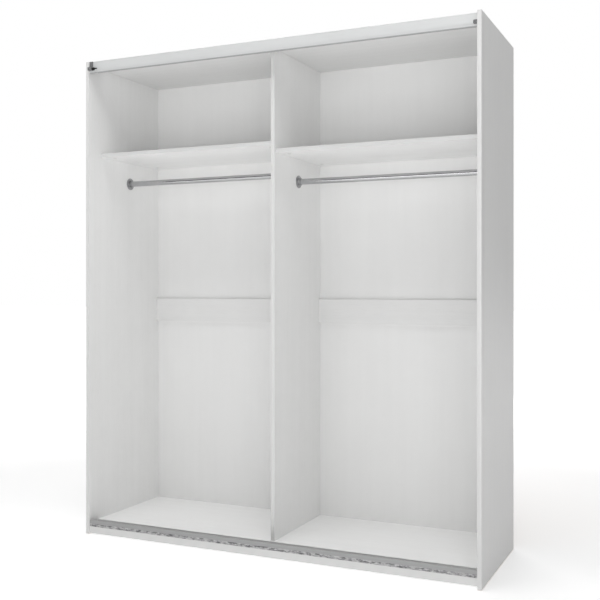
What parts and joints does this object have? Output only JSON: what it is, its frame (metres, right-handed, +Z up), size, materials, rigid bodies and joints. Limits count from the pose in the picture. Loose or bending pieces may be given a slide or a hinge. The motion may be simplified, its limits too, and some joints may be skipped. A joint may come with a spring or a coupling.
{
  "type": "sliding door wardrobe carcase",
  "caption": "Tall two-bay wardrobe for sliding doors, without its doors: panels, partition, hat shelves, clothes rods, top and bottom door tracks, end stops and a folded back.",
  "frame": {"origin": "on the floor, under the middle of the carcase's width and depth", "axes": "+Z up, the open front faces -Y, +X to the right of a person who faces the open front"},
  "size_m": [1.78, 0.58, 2.1],
  "materials": {
    "white_foil_board": "white foil with a shallow wood grain, silk matt",
    "white_edge_band": "white plastic edge band, silk matt",
    "white_hardboard": "white lacquered hardboard, brown at the rear",
    "fold_strip": "white flexible strip",
    "anodised_aluminium": "pale anodised, fine lengthwise brushing",
    "bright_aluminium": "mill finish, bright",
    "dark_plastic": "dark grey, moulded",
    "rubber_buffer": "matt black",
    "zinc_screw": "zinc plated",
    "chromed_rod": "polished",
    "cast_socket": "satin, darker than the rod",
    "cast_zinc": "die cast zinc",
    "white_cap": "white plastic",
    "beech": "plain beech",
    "bright_nail": "bright steel",
    "glide_plastic": "dark grey plastic"
  },
  "bodies": {
    "carcase": {"left_side_panel": "white_foil_board", "right_side_panel": "white_foil_board", "centre_partition": "white_foil_board", "top_panel": "white_foil_board", "bottom_panel": "white_foil_board", "left_shelf": "white_foil_board", "right_shelf": "white_foil_board", "left_traverse": "white_foil_board", "right_traverse": "white_foil_board", "front_plinth": "white_foil_board", "rear_plinth": "white_foil_board", "centre_support": "white_foil_board", "left_side_edge_band": "white_edge_band", "right_side_edge_band": "white_edge_band", "partition_edge_band": "white_edge_band", "bottom_panel_edge_band": "white_edge_band", "left_shelf_edge_band": "white_edge_band", "right_shelf_edge_band": "white_edge_band", "back_left_outer": "white_hardboard", "back_left_inner": "white_hardboard", "back_right_inner": "white_hardboard", "back_right_outer": "white_hardboard", "left_fold_strip": "fold_strip", "right_fold_strip": "fold_strip", "top_fascia": "anodised_aluminium", "top_guide_track": "anodised_aluminium", "bottom_track": "bright_aluminium", "left_rod_outer_socket": "cast_socket", "left_rod_inner_socket": "cast_socket", "right_rod_inner_socket": "cast_socket", "right_rod_outer_socket": "cast_socket", "socket_screws": "zinc_screw", "cam_housings": "cast_zinc", "cam_bolts": "zinc_screw", "cam_caps": "white_cap", "dowels": "beech", "back_nails": "bright_nail", "fascia_screws": "zinc_screw", "guide_track_screws": "zinc_screw", "bottom_track_screws": "zinc_screw", "floor_glides": "glide_plastic"},
    "left_rod": {"left_rod": "chromed_rod"},
    "right_rod": {"right_rod": "chromed_rod"},
    "left_stop": {"left_end_stop": "dark_plastic", "left_stop_buffer": "rubber_buffer", "left_stop_screw": "zinc_screw"},
    "right_stop": {"right_end_stop": "dark_plastic", "right_stop_buffer": "rubber_buffer", "right_stop_screw": "zinc_screw"}
  },
  "joints": [
    {"name": "left_rod_turn", "type": "hinge", "parent": "carcase", "child": "left_rod", "pos_m": [-0.4485, 0.048, 1.588], "axis": [1, 0, 0], "continuous": true},
    {"name": "right_rod_turn", "type": "hinge", "parent": "carcase", "child": "right_rod", "pos_m": [0.4485, 0.048, 1.556], "axis": [1, 0, 0], "continuous": true},
    {"name": "left_stop_slide", "type": "slide", "parent": "carcase", "child": "left_stop", "axis": [1, 0, 0], "range_m": [0, 0.06]},
    {"name": "right_stop_slide", "type": "slide", "parent": "carcase", "child": "right_stop", "axis": [-1, 0, 0], "range_m": [0, 0.06]}
  ]
}
